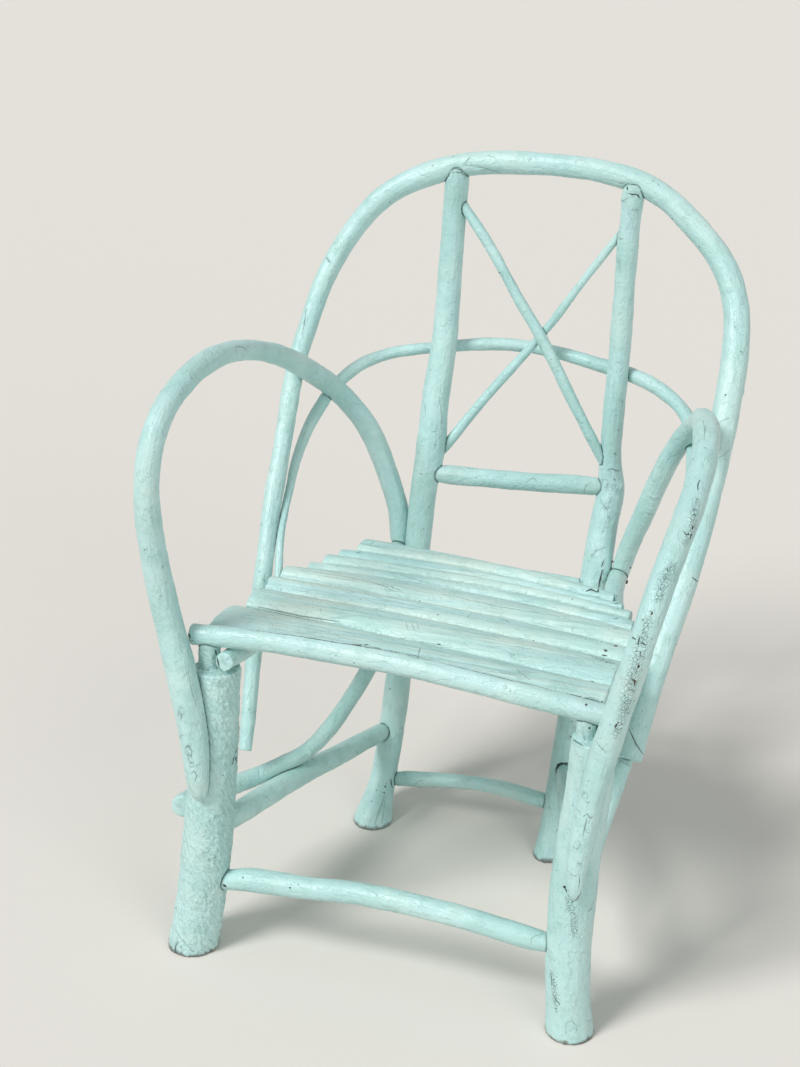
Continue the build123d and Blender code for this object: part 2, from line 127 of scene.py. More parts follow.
# ---- marks that the photograph shows: (kind, half width, path), in its pixels ----
SEEN_MARKS = [
    # left arm
    ("hole", 0.8, [(144, 550)]),
    ("hole", 0.7, [(146, 550)]),
    ("hole", 0.6, [(154, 587)]),
    ("hole", 0.6, [(160, 596)]),
    ("hole", 0.6, [(180, 635)]),
    ("line", 0.6, [(236, 347), (241, 346), (246, 348)]),
    ("lump", 5.0, [(181, 712)]),
    ("line", 0.9, [(178, 711), (181, 715), (181, 720)]),
    ("crease", 0.7, [(179, 738), (181, 735), (184, 736)]),
    ("line", 0.5, [(187, 754), (185, 748), (188, 746), (192, 751), (191, 757), (187, 754), (189, 760)]),
    ("line", 0.5, [(190, 763), (194, 762)]),
    ("line", 0.5, [(190, 767), (194, 767)]),
    ("line", 0.6, [(191, 774), (194, 771), (197, 776), (195, 781)]),
    # front left leg, its shoulder, and the ends of the rod, rail, hoop and brace beside it
    ("crack", 1.3, [(237, 749), (234, 756), (233, 764)]),
    ("chip", 1.6, [(236, 757), (235, 763)]),
    ("crack", 1.2, [(216, 650), (217, 659), (219, 668)]),
    ("crack", 0.9, [(198, 668), (203, 670), (209, 670)]),
    ("hole", 1.3, [(188, 633), (190, 638)]),
    ("hole", 1.0, [(192, 641)]),
    ("crack", 0.8, [(177, 942), (175, 950), (176, 957)]),
    ("hole", 0.8, [(182, 953)]),
    ("crease", 0.9, [(188, 672), (192, 690), (197, 705)]),
    # left brace and side stretcher
    ("crease", 0.9, [(309, 746), (312, 752), (312, 759)]),
    ("lump", 4.5, [(311, 753)]),
    ("crease", 0.8, [(256, 763), (259, 771), (259, 779)]),
    ("crease", 0.9, [(262, 794), (268, 797), (271, 802)]),
    ("crease", 0.8, [(356, 750), (359, 757), (359, 763)]),
    # hoop, left limb and top
    ("line", 0.7, [(326, 257), (330, 263)]),
    ("line", 0.5, [(302, 335), (304, 326), (306, 311)]),
    ("hole", 0.9, [(424, 189)]),
    ("hole", 0.7, [(390, 203)]),
    ("line", 0.5, [(464, 164), (467, 161), (471, 157)]),
    ("crease", 0.7, [(487, 155), (492, 157), (497, 159)]),
    ("crease", 0.8, [(529, 162), (531, 159)]),
    ("crease", 1.2, [(464, 165), (480, 167), (501, 173)]),
    # hoop, right limb
    ("line", 0.5, [(652, 180), (655, 182)]),
    ("line", 0.5, [(657, 183), (660, 186)]),
    ("hole", 1.2, [(672, 219)]),
    ("hole", 0.9, [(699, 247)]),
    ("crease", 0.7, [(733, 325), (737, 330)]),
    ("hole", 1.0, [(741, 352)]),
    ("hole", 1.1, [(725.5, 395)]),
    ("crease", 0.9, [(716, 425), (722, 421), (730, 418)]),
    ("crease", 0.8, [(718, 458), (724, 455), (729, 450)]),
    ("crack", 0.7, [(692, 577), (694, 579), (698, 582)]),
    ("crack", 0.7, [(629, 729), (636, 744), (645, 757)]),
    ("crease", 1.2, [(617, 758), (628, 765), (646, 772)]),
    # back left post
    ("line", 0.7, [(451, 173), (455, 172), (462, 173), (467, 178)]),
    ("crease", 0.8, [(421, 398), (425, 406), (425, 418)]),
    ("crease", 0.8, [(440, 400), (442, 415), (442, 430)]),
    ("crease", 0.8, [(431, 432), (437, 432)]),
    ("hole", 0.8, [(435, 445)]),
    ("hole", 0.7, [(421, 474)]),
    ("hole", 0.6, [(429, 507)]),
    ("hole", 0.9, [(390, 689)]),
    ("hole", 0.9, [(402, 728)]),
    ("hole", 1.0, [(385.4, 786.5)]),
    ("hole", 0.8, [(376.4, 790)]),
    ("hole", 1.0, [(384.3, 792.5)]),
    ("hole", 0.8, [(371.5, 801)]),
    ("crease", 1.8, [(385, 794), (382, 805), (378, 815), (375, 824)]),
    ("crease", 1.0, [(386, 796), (384, 808), (382, 824)]),
    ("crack", 0.9, [(391, 779), (392, 785), (393, 788)]),
    # back right post
    ("crack", 1.1, [(627, 187), (628, 190)]),
    ("crack", 0.9, [(628.5, 193.5), (632, 194.6), (637, 194.6)]),
    ("crack", 0.9, [(637, 194.6), (640.3, 198)]),
    ("crease", 0.8, [(622, 201.6), (626, 199.5), (629, 197.4)]),
    ("ridge", 1.3, [(630, 191), (634, 191), (639, 195)]),
    ("ridge", 1.0, [(629, 189), (629, 193)]),
    ("crease", 0.7, [(630, 210.5), (640, 210.5)]),
    ("line", 0.5, [(618, 239), (623, 239)]),
    ("crease", 0.8, [(616, 258), (619, 264), (620, 272)]),
    ("hole", 0.8, [(615, 454)]),
    ("hole", 0.8, [(615, 480)]),
    ("line", 0.7, [(607, 470), (612, 469), (616, 471), (620, 471)]),
    ("knot", 5.0, [(605, 484)]),
    ("lump", 8.0, [(621, 487)]),
    ("crease", 1.0, [(600, 500), (607, 510), (611, 498)]),
    ("crack", 0.6, [(603.8, 561), (601.5, 567)]),
    ("crack", 1.2, [(602.5, 570), (600, 581), (597.7, 592)]),
    ("crack", 1.3, [(586, 591), (591, 589), (597, 591.5)]),
    ("crease", 0.8, [(592, 556), (598, 550), (607, 547)]),
    ("crack", 1.5, [(556, 769), (558, 765), (562, 763), (567, 765)]),
    ("hole", 0.7, [(549, 808)]),
    # inner hoop, cross rail, crossed sticks, back stretcher
    ("hole", 0.6, [(651, 382)]),
    ("hole", 0.6, [(658, 382)]),
    ("lump", 4.0, [(588, 369)]),
    ("lump", 3.5, [(597, 372)]),
    ("crease", 1.0, [(528, 482), (533, 478), (537, 481)]),
    ("crease", 1.0, [(584, 494), (586, 486), (591, 482)]),
    ("hole", 1.1, [(499, 273)]),
    ("crease", 0.8, [(412, 788), (415, 784), (419, 781), (424, 781)]),
    ("crease", 0.8, [(538, 797), (539, 803), (542, 808)]),
    ("knot", 4.0, [(640, 402)]),
    # right arm, rear limb
    ("ridge", 1.0, [(646, 493), (653, 497), (661, 495)]),
    ("ridge", 0.9, [(645, 505), (650, 509), (656, 507)]),
    ("crease", 0.8, [(646, 496), (653, 500), (660, 498)]),
    ("crease", 0.8, [(645, 512), (650, 515), (654, 514)]),
    ("ridge", 0.8, [(640, 523), (645, 526), (650, 525)]),
    ("hole", 1.0, [(621, 590)]),
    # right arm, front
    ("hole", 0.8, [(705, 448)]),
    ("line", 0.4, [(703, 420), (705, 430), (704, 440)]),
    ("crack", 0.8, [(700, 480), (698, 484), (698, 490)]),
    ("chip", 1.3, [(693, 526), (692, 529)]),
    ("hole", 1.1, [(691.5, 535)]),
    ("crack", 0.9, [(691, 534), (690, 540)]),
    ("crack", 0.7, [(683, 531), (686, 535), (689, 533)]),
    ("chip", 1.3, [(652.5, 612), (651, 615)]),
    ("hole", 0.8, [(652.5, 623)]),
    ("specks", 5.0, [(697, 500), (692, 530), (684, 545)]),
    ("specks", 6.0, [(672, 565), (663, 583), (658, 600)]),
    ("specks", 7.0, [(648, 618), (640, 650), (634, 672), (628, 700), (616, 735)]),
    ("knot", 6.0, [(638, 641)]),
    ("crack", 0.9, [(631, 637), (635, 639.5)]),
    ("crack", 0.9, [(638, 645), (639.5, 637)]),
    ("crack", 0.8, [(642, 643), (646, 646)]),
    ("chip", 1.5, [(639, 665), (638, 668)]),
    ("chip", 1.3, [(632, 679), (635, 681), (634, 685)]),
    ("chip", 1.3, [(617, 724), (615, 728)]),
    ("chip", 0.9, [(618, 730)]),
    ("line", 0.5, [(596, 741), (600, 747), (605, 752)]),
    ("crease", 0.8, [(583, 799), (582, 795), (585, 792), (588, 795), (587, 799), (583, 799)]),
    ("line", 0.5, [(585, 801), (588, 803), (590, 802)]),
    ("crease", 0.8, [(573, 805), (576, 809), (579, 812)]),
    ("line", 0.7, [(583, 817), (587, 814), (590, 818), (593, 817)]),
    ("line", 0.7, [(587, 818), (585, 827), (582.5, 836)]),
    ("crease", 0.8, [(573, 847), (575, 842), (579, 842), (581, 847), (577, 850), (573, 847)]),
    ("crease", 0.8, [(577, 868), (578, 864), (582, 865), (582, 869)]),
    ("line", 0.5, [(570, 874), (574, 877), (578, 875)]),
    ("line", 0.6, [(580, 876), (580, 883), (579, 889)]),
    ("hole", 2.0, [(564.5, 887)]),
    ("crack", 1.2, [(565, 888), (567, 892), (569, 897)]),
    ("crack", 0.8, [(569, 897), (573, 902), (577, 899), (581, 893)]),
    # front right leg
    ("crack", 1.0, [(571, 737), (576, 741), (583, 746)]),
    ("ridge", 1.2, [(570, 739), (576, 744), (584, 748)]),
    ("crease", 0.9, [(575, 751), (579, 757), (584, 758)]),
    ("chip", 1.6, [(589.5, 728)]),
    ("crease", 0.7, [(576, 728), (582, 733), (586, 742)]),
    ("ridge", 1.0, [(574, 727), (579, 730), (577, 736)]),
    ("ridge", 1.2, [(562, 906), (566, 911)]),
    ("ridge", 1.2, [(568, 905), (570, 915)]),
    ("ridge", 1.1, [(575, 906), (580, 912)]),
    ("crease", 0.8, [(571, 918), (572, 932)]),
    ("ridge", 1.0, [(574, 934), (580, 938), (584, 936)]),
    ("ridge", 1.0, [(565, 937), (571, 942)]),
    ("crack", 0.6, [(549, 972), (551, 978), (552, 985)]),
    ("crack", 0.6, [(553, 995), (556, 1000), (560, 1004)]),
    ("specks", 4.0, [(566, 898), (574, 915), (574, 936)]),
    ("specks", 3.5, [(552, 972), (557, 1010)]),
    ("crease", 0.7, [(566, 1031), (566, 1023), (572, 1021), (577, 1026), (577, 1031)]),
    ("hole", 0.7, [(566, 1032)]),
    ("hole", 0.7, [(576.5, 1030)]),
    ("crack", 0.6, [(588, 912), (592, 908)]),
    # front stretcher
    ("hole", 1.0, [(243, 877.5)]),
    ("hole", 0.9, [(290, 888)]),
    ("hole", 0.7, [(298, 884)]),
    ("hole", 2.0, [(223, 885), (226, 887)]),
    ("crease", 1.0, [(531, 944), (532, 938), (537, 935), (544, 934)]),
    ("hole", 0.6, [(291, 884)]),
    ("hole", 0.6, [(318, 888)]),
    # seat rod and slats
    ("crack", 0.9, [(246, 629), (300, 636), (356, 645), (400, 653), (438, 662)]),
    ("crack", 0.7, [(438, 662), (480, 672), (521, 683), (560, 692), (604, 702)]),
    ("line", 0.7, [(258, 607), (300, 616), (340, 622)]),
    ("line", 0.6, [(300, 571), (345, 577), (400, 590)]),
    ("crease", 0.9, [(330, 585), (390, 600), (450, 612)]),
    ("line", 0.5, [(440, 594), (500, 607), (560, 617)]),
    ("chip", 1.6, [(586, 704.5)]),
    ("crease", 0.7, [(503, 687), (505, 685), (507, 688), (505, 690), (503, 687)]),
    ("hole", 0.8, [(510.5, 691)]),
    ("hole", 0.9, [(354, 663)]),
    ("crack", 1.4, [(352, 644), (360, 645), (368, 644)]),
    ("crack", 1.2, [(372, 647), (384, 649), (400, 652)]),
    ("crack", 0.8, [(404, 652), (414, 655), (422, 657)]),
    ("line", 0.6, [(421, 647), (419, 652), (418, 658)]),
    ("line", 0.6, [(517, 669), (523, 674), (530, 680)]),
    ("crack", 0.7, [(590, 681), (594, 682)]),
    ("hole", 0.8, [(341, 603)]),
    ("hole", 0.7, [(261.5, 590)]),
    ("hole", 0.9, [(438, 615)]),
    ("hole", 0.9, [(514, 655)]),
    ("hole", 0.7, [(419, 602)]),
    ("hole", 0.7, [(446, 611)]),
    ("line", 0.5, [(281, 588), (281, 593)]),
    ("knot", 5.5, [(390, 588)]),
    ("crease", 0.8, [(383, 585), (390, 590), (402, 592)]),
    ("crease", 0.7, [(321, 609), (321, 613)]),
    ("crease", 0.7, [(384, 547), (388, 547)]),
    ("crease", 0.9, [(406, 622), (408, 630)]),
    ("crease", 0.9, [(412, 623), (415, 631)]),
    ("crease", 0.9, [(417, 624), (419, 629)]),
    ("crease", 0.8, [(402, 584), (410, 582), (422, 584)]),
    ("crease", 0.8, [(467.5, 617), (472, 612)]),
    ("crack", 0.6, [(500, 619), (506, 620), (511, 622)]),
    ("crease", 0.8, [(537, 608), (541, 609)]),
    ("crack", 0.6, [(437, 644), (441, 645)]),
    ("hole", 0.6, [(422, 643)]),
    ("chip", 1.8, [(604.5, 650), (607, 651.5)]),
    ("crack", 0.8, [(602, 655), (607, 656)]),
    ("crease", 0.8, [(572, 627), (573, 631)]),
    ("crease", 0.8, [(585, 641), (587, 637)]),
    ("lump", 2.0, [(600, 642)]),
    ("lump", 1.6, [(604, 644)]),
    ("hole", 0.7, [(560.5, 650)]),
    ("specks", 5.0, [(592, 657), (612, 664)]),
    ("hole", 0.8, [(533.7, 640.7)]),
]
SPECKS_PER_AREA = 0.05      # for each square pixel of a band of specks
SPECK_WIDTHS = (0.35, 0.75)     # half widths, in pixels
CRAZED_SPREAD = 1.8         # how much wider the crazed paint round the specks is than their band

# ---- kinds of marks: (height in mm, how dark, how bare) ----
MM = 0.001
# the darkness of the hollow marks (holes, cracks, lines, creases, chips) is partly painted shade inside
# them and partly dirt
MARK_KINDS = {
    "hole": (-1.1, 1.0, 0.0),
    "crack": (-0.9, 0.92, 0.0),
    "line": (-0.5, 0.60, 0.0),
    "crease": (-0.45, 0.25, 0.0),
    "ridge": (0.60, 0.0, 0.0),
    "lump": (1.4, 0.0, 0.0),
    "knot": (1.0, 0.0, 0.0),
    "chip": (-0.5, 0.15, 1.0),
    "crazed": (0.0, 0.0, 0.0),
}
DEEPEST = 0.9               # how deep or high a mark can be, as a share of its half width
DARK_SLOPE = 2.6            # how sharp the edge of a mark's darkness is
BARE_SLOPE = 2.5            # and of its bare wood
WIDTH_CHANGE = 0.3          # how much a mark's width varies, as a share of it
WIDTH_LENGTH = 0.0016       # over what distance it varies
WIDTH_SEED = 5
WIDEST = 1.4                # more than a mark ever reaches, as a share of its half width
TIP_WIDTH = 0.45            # how wide the ends of a long mark are, as a share of its half width
LONG_PATH = 3               # more points than this make a mark long
KNOT_RING = 0.72            # where the groove round a knot lies, as a share of its radius
KNOT_RING_WIDTH = 0.13
KNOT_RING_DEPTH = 0.0006
# painted shade in the groove round a knot
KNOT_RING_SHADE = 0.15

# ---- random marks on the sides that the photograph can't show ----
HIDDEN_KINDS = ["hole", "hole", "hole", "crack", "line", "crease", "crease", "knot", "lump", "crazed"]
HIDDEN_MARK_AREA = 0.0030   # square metres of surface for each mark
HIDDEN_RADII = (0.0007, 0.0013)
BROAD_KINDS = ("lump", "knot", "crazed")
BROAD_RADII = (0.004, 0.008)
STRAYING = 0.35             # how far a crack's direction strays from the grain
PATH_STEP = 0.0015
PATH_STEPS = (3, 12)
FLECK_AREA = 0.0022         # square metres of surface for each tiny fleck, on every side
FLECK_RADII = (0.0004, 0.0008)

rng = np.random.default_rng(24)


# ---- noise ----
CELL_FACTORS = (73856093, 19349663, 83492791)
SEED_FACTOR = 2654435
MIX_FACTOR = 0x45D9F3B
MASK = 0xFFFFFFFF           # keeps the last 32 bits


def lattice_value(cell, seed):
    """A repeatable random number from -1 to 1 for each whole-numbered cell."""
    mixed = seed * SEED_FACTOR
    for axis, factor in enumerate(CELL_FACTORS):
        mixed = mixed ^ cell[:, axis] * factor
    mixed = mixed & MASK
    for turn in range(2):
        mixed = ((mixed >> 16) ^ mixed) * MIX_FACTOR & MASK
    mixed = (mixed >> 16) ^ mixed
    return mixed / (MASK // 2) - 1.0


def noise(points, seed):
    """Smooth noise from -1 to 1 that changes over a distance of 1."""
    cell = np.floor(points).astype(np.int64)
    share = points - cell
    share = share * share * share * (share * (share * 6 - 15) + 10)
    total = np.zeros(len(points))
    for corner in np.ndindex(2, 2, 2):
        weight = np.ones(len(points))
        for axis in range(3):
            weight *= share[:, axis] if corner[axis] else 1 - share[:, axis]
        total += weight * lattice_value(cell + np.array(corner), seed)
    return total


def layered_noise(points, size, seed, layers=1):
    """Noise with bumps of this size, and layers of bumps half as long and high as those before."""
    points = points / np.array(size)
    total = np.zeros(len(points))
    for layer in range(layers):
        total += noise(points * 2**layer, seed + layer) / 2**layer
    return total


def eased(share):
    """From 0 to 1 with no slope at either end."""
    share = np.clip(share, 0.0, 1.0)
    return share * share * (3 - 2 * share)


# ---- surfaces ----
POLE_VOXEL = 0.0017
SLAT_VOXEL = 0.0014
BARK_VOXEL = 0.0013
NAIL_VOXEL = 0.0005
ROUGH_BARK = 0.2            # bark that is rougher than this has the finer mesh
POLE_ROUNDING = 4           # steps of smoothing, which round the edges
SLAT_ROUNDING = 10
NAIL_ROUNDING = 3
SMOOTHING = 0.5             # how strong each step is


def voxel_of(name):
    """How fine a wooden piece's mesh is."""
    if name in SLATS:
        return SLAT_VOXEL
    return BARK_VOXEL if BARK.get(name, 0.0) > ROUGH_BARK else POLE_VOXEL


def remeshed(name, voxel, rounding):
    """A copy of a piece's surface as one fine, even mesh with its edges rounded."""
    rough = bpy.data.objects.new("rough", nodes[name].data.copy())
    bpy.context.scene.collection.objects.link(rough)
    remesh = rough.modifiers.new("remesh", "REMESH")
    remesh.mode = "VOXEL"
    remesh.voxel_size = voxel
    smooth = rough.modifiers.new("smooth", "SMOOTH")
    smooth.factor = SMOOTHING
    smooth.iterations = rounding
    bpy.context.view_layer.update()
    evaluated = rough.evaluated_get(bpy.context.evaluated_depsgraph_get())
    mesh = bpy.data.meshes.new_from_object(evaluated)
    bpy.data.objects.remove(rough)
    mesh.name = "painted_" + name
    mesh.materials.clear()
    return mesh


def places(mesh):
    """The places of a mesh's vertices."""
    flat = np.zeros(len(mesh.vertices) * 3)
    mesh.vertices.foreach_get("co", flat)
    return flat.reshape(-1, 3)


def directions(mesh):
    """The directions in which a mesh's vertices face."""
    flat = np.zeros(len(mesh.vertices) * 3, np.float32)
    mesh.vertex_normals.foreach_get("vector", flat)
    return flat.reshape(-1, 3).astype(float)


def face_middles(mesh):
    """The places of the middles of a mesh's faces."""
    flat = np.zeros(len(mesh.polygons) * 3, np.float32)
    mesh.polygons.foreach_get("center", flat)
    return flat.reshape(-1, 3).astype(float)


def search_tree(mesh):
    """A tree to find the nearest place on a mesh, or where a ray meets it."""
    corners = [vertex.co[:] for vertex in mesh.vertices]
    faces = [tuple(polygon.vertices) for polygon in mesh.polygons]
    return BVHTree.FromPolygons(corners, faces)


# ---- the run of a pole's grain ----
STEP = 0.008                # between the points of a centre line
POLE_REACH = 0.05           # wider than any pole is thick
FEWEST_POINTS = 12          # a slice with fewer points lies past the pole's end
TURNING = 0.4               # how quickly the walk turns towards the middle of the next slice
CENTRING = 0.7              # how far each step is drawn to that middle
UPRIGHT = 0.3               # sine of the slant below which a pole's start counts as upright
GRAIN_TWIST = 18.0          # radians a metre by which the grain winds round a pole of full bark
POINTS_AT_ONCE = 20000      # so that long poles don't fill the memory


def walk(points, start, direction):
    """Walk along a tube of surface points from start, and return the middle of each slice."""
    line = []
    here = start
    while True:
        ahead = here + direction * STEP
        offsets = points - ahead
        along = offsets @ direction
        near = (np.abs(along) < STEP / 2) & (np.einsum("ij,ij->i", offsets, offsets) < POLE_REACH**2)
        if near.sum() < FEWEST_POINTS:
            return line
        middle = points[near].mean(axis=0)
        turned = middle - here
        turned /= np.linalg.norm(turned)
        direction = direction * (1 - TURNING) + turned * TURNING
        direction /= np.linalg.norm(direction)
        here = here + direction * ((middle - here) @ direction)
        here = here * (1 - CENTRING) + middle * CENTRING
        line.append(here)


def centre_line(points, normals):
    """The line down the middle of a pole, from the points and normals of its surface."""
    first = points[np.argmin(np.abs(points - np.median(points, axis=0)).sum(axis=1))]
    first_near = np.linalg.norm(points - first, axis=1) < POLE_REACH
    spread = normals[first_near].T @ normals[first_near]
    direction = np.linalg.eigh(spread)[1][:, 0]
    offsets = points - first
    ring = (np.abs(offsets @ direction) < STEP / 2) & (np.linalg.norm(offsets, axis=1) < 2 * POLE_REACH)
    middle = points[ring].mean(axis=0)
    one_way = walk(points, middle, direction)
    other_way = walk(points, middle, -direction)
    line = np.array(other_way[::-1] + [middle] + one_way)
    if line[0][2] > line[-1][2]:
        line = line[::-1]
    return line


def pole_grain(points, line, twist):
    """Coordinates along a pole and on a circle round it, and the direction of its grain."""
    tangents = np.gradient(line, axis=0)
    tangents /= np.linalg.norm(tangents, axis=1)[:, None]
    side = np.cross(tangents[0], [0.0, 0.0, 1.0])
    if np.linalg.norm(side) < UPRIGHT:
        side = np.cross(tangents[0], [1.0, 0.0, 0.0])
    sides = []
    for tangent in tangents:
        side = side - tangent * (side @ tangent)
        side = side / np.linalg.norm(side)
        sides.append(side)
    sides = np.array(sides)
    others = np.cross(tangents, sides)
    reach = np.concatenate([[0.0], np.cumsum(np.linalg.norm(np.diff(line, axis=0), axis=1))])
    grain = np.zeros((len(points), 3))
    runs = np.zeros((len(points), 3))
    for start in range(0, len(points), POINTS_AT_ONCE):
        some = slice(start, start + POINTS_AT_ONCE)
        apart = ((points[some][:, None, :] - line[None, :, :]) ** 2).sum(axis=2)
        nearest = apart.argmin(axis=1)
        offset = points[some] - line[nearest]
        along = reach[nearest] + (offset * tangents[nearest]).sum(axis=1)
        across = (offset * sides[nearest]).sum(axis=1)
        other = (offset * others[nearest]).sum(axis=1)
        angle = np.arctan2(other, across) + twist * along
        radius = np.median(np.hypot(across, other))
        grain[some] = np.stack([along, radius * np.cos(angle), radius * np.sin(angle)], axis=1)
        runs[some] = tangents[nearest]
    return grain, runs


def grain_of(name, points, line):
    """Coordinates that follow a piece's grain, and the direction of the grain, at each point."""
    if name in SLATS:
        return points, np.tile([1.0, 0.0, 0.0], (len(points), 1))
    return pole_grain(points, line, GRAIN_TWIST * BARK.get(name, 0.0))


# ---- marks ----
SHORTEST = 1e-12            # the least square of a length that is divided by
REFINED_EDGE = 0.0014       # how far round a mark the faces are divided too


def stepped(path):
    """The pixels along a path, about one pixel apart."""
    pixels = [path[0]]
    for (x0, y0), (x1, y1) in zip(path, path[1:]):
        steps = max(1, round(math.hypot(x1 - x0, y1 - y0)))
        for step in range(1, steps + 1):
            share = step / steps
            pixels.append((x0 + (x1 - x0) * share, y0 + (y1 - y0) * share))
    return pixels


def first_hit(pixel, trees):
    """The piece that shows at a pixel of the photograph, how far off it is, and where."""
    direction = sight(pixel)
    nearest = None
    for name, tree in trees.items():
        place, normal, face, distance = tree.ray_cast(camera_place, direction)
        if place is not None and (nearest is None or distance < nearest[1]):
            nearest = (name, distance, place)
    return nearest


def scattered(width, path):
    """Small holes at random pixels in a band along a path."""
    pixels = stepped(path)
    count = round(SPECKS_PER_AREA * len(pixels) * 2 * width)
    marks = []
    for speck in range(count):
        x, y = pixels[rng.integers(len(pixels))]
        dx, dy = rng.normal(0, width / 2, 2)
        marks.append(("hole", rng.uniform(*SPECK_WIDTHS), [(x + dx, y + dy)]))
    return marks


def seen_marks(trees):
    """The marks of the photograph, laid on the pieces on which they show."""
    found = {name: [] for name in trees}
    drawn = []
    for kind, width, path in SEEN_MARKS:
        if kind == "specks":
            drawn += scattered(width, path)
            drawn.append(("crazed", CRAZED_SPREAD * width, path))
        else:
            drawn.append((kind, width, path))
    for kind, width, path in drawn:
        stretches = []
        for pixel in stepped(path):
            hit = first_hit(pixel, trees)
            if hit is None:
                continue
            name, distance, place = hit
            if stretches and stretches[-1][0] == name:
                stretches[-1][2].append(place)
            else:
                stretches.append((name, width * distance / PIXELS, [place]))
        for name, radius, points in stretches:
            found[name].append((kind, radius, np.array(points)))
    return found


def hidden_marks(points, normals, runs, area, tree):
    """Random marks on the sides that the camera can't see, and tiny flecks on every side."""
    marks = []
    away = np.flatnonzero(((points - np.array(camera_place)) * normals).sum(axis=1) > 0)
    for mark in range(round(area * len(away) / len(points) / HIDDEN_MARK_AREA)):
        start = away[rng.integers(len(away))]
        kind = HIDDEN_KINDS[rng.integers(len(HIDDEN_KINDS))]
        path = [points[start]]
        radius = rng.uniform(*HIDDEN_RADII)
        if kind in BROAD_KINDS:
            radius = rng.uniform(*BROAD_RADII)
        elif kind != "hole":
            slant = runs[start] + rng.normal(0, STRAYING, 3)
            for step in range(rng.integers(*PATH_STEPS)):
                place = tree.find_nearest(Vector(path[-1] + PATH_STEP * slant))[0]
                path.append(np.array(place))
        marks.append((kind, radius, np.array(path)))
    for fleck in range(round(area / FLECK_AREA)):
        marks.append(("hole", rng.uniform(*FLECK_RADII), points[[rng.integers(len(points))]]))
    return marks


def path_distance(points, path):
    """How far points are from a path, and how far along it they are, from 0 to 1."""
    if len(path) == 1:
        return np.linalg.norm(points - path[0], axis=1), np.full(len(points), 0.5)
    nearest = np.full(len(points), np.inf)
    share = np.zeros(len(points))
    for index, (start, end) in enumerate(zip(path, path[1:])):
        span = end - start
        along = np.clip((points - start) @ span / max(span @ span, SHORTEST), 0, 1)
        apart = np.linalg.norm(points - start - along[:, None] * span, axis=1)
        closer = apart < nearest
        nearest[closer] = apart[closer]
        share[closer] = (index + along[closer]) / (len(path) - 1)
    return nearest, share


def near_path(points, path, reach):
    """Which points lie in the box round a path."""
    above = (points > path.min(axis=0) - reach).all(axis=1)
    below = (points < path.max(axis=0) + reach).all(axis=1)
    return np.flatnonzero(above & below)


def refine(mesh, marks):
    """Divide the faces under the marks finely enough to carry them."""
    middles = face_middles(mesh)
    chosen = set()
    for kind, radius, path in marks:
        if kind == "crazed":
            continue
        reach = radius + REFINED_EDGE
        near = near_path(middles, path, reach)
        apart = path_distance(middles[near], path)[0]
        chosen.update(near[apart < reach].tolist())
    working = bmesh.new()
    working.from_mesh(mesh)
    working.faces.ensure_lookup_table()
    working.edges.ensure_lookup_table()
    numbers = sorted({edge.index for face in chosen for edge in working.faces[face].edges})
    edges = [working.edges[number] for number in numbers]
    bmesh.ops.subdivide_edges(working, edges=edges, cuts=2, use_grid_fill=True)
    working.to_mesh(mesh)
    working.free()


def work_in(points, marks, height, dark, bare, crazed):
    """Press the marks into a surface: change its height, its darkness (partly painted shade in the
    hollows), bareness and fine cracking.
    """
    for kind, radius, path in marks:
        rise, darkness, bareness = MARK_KINDS[kind]
        near = near_path(points, path, radius * WIDEST)
        if len(near) == 0:
            continue
        apart, share = path_distance(points[near], path)
        width = radius * (1 + WIDTH_CHANGE * layered_noise(points[near], WIDTH_LENGTH, WIDTH_SEED))
        if len(path) > LONG_PATH:
            width *= TIP_WIDTH + (1 - TIP_WIDTH) * np.sin(np.pi * share)
        inward = 1 - apart / width
        amount = eased(inward)
        if kind == "crazed":
            crazed[near] = np.maximum(crazed[near], amount)
            continue
        deepest = min(abs(rise) * MM, radius * DEEPEST) * np.sign(rise)
        height[near] += deepest * amount
        dark[near] = np.maximum(dark[near], darkness * eased(inward * DARK_SLOPE))
        bare[near] = np.maximum(bare[near], bareness * eased(inward * BARE_SLOPE))
        if kind == "knot":
            ring = np.exp(-(((1 - inward) - KNOT_RING) / KNOT_RING_WIDTH) ** 2) * (inward > 0)
            height[near] -= KNOT_RING_DEPTH * ring
            dark[near] = np.maximum(dark[near], KNOT_RING_SHADE * ring)


# ---- what lies close to each piece ----
CELL = 0.006
CELLS_ACROSS = 1024         # more cells than lie side by side in the chair


def cells(points):
    """A number for the small cube of space that each point is in."""
    whole = np.floor(points / CELL).astype(np.int64) + CELLS_ACROSS // 2
    return (whole[:, 0] * CELLS_ACROSS + whole[:, 1]) * CELLS_ACROSS + whole[:, 2]


def spread_cells(points):
    """The cells that points are in, and all the cells round those."""
    own = np.unique(cells(points))
    around = []
    for i, j, k in np.ndindex(3, 3, 3):
        around.append(own + ((i - 1) * CELLS_ACROSS + j - 1) * CELLS_ACROSS + k - 1)
    return np.unique(np.concatenate(around))


def nearness(name, points, near_cells, trees):
    """How near each point is to the other pieces: 1 where they touch, 0 from a cell's width away."""
    own = cells(points)
    close = np.zeros(len(points))
    for other, tree in trees.items():
        if other == name:
            continue
        for number in np.flatnonzero(np.isin(own, near_cells[other])).tolist():
            place, normal, face, distance = tree.find_nearest(points[number].tolist(), CELL)
            if place is not None:
                close[number] = max(close[number], 1 - distance / CELL)
    return close


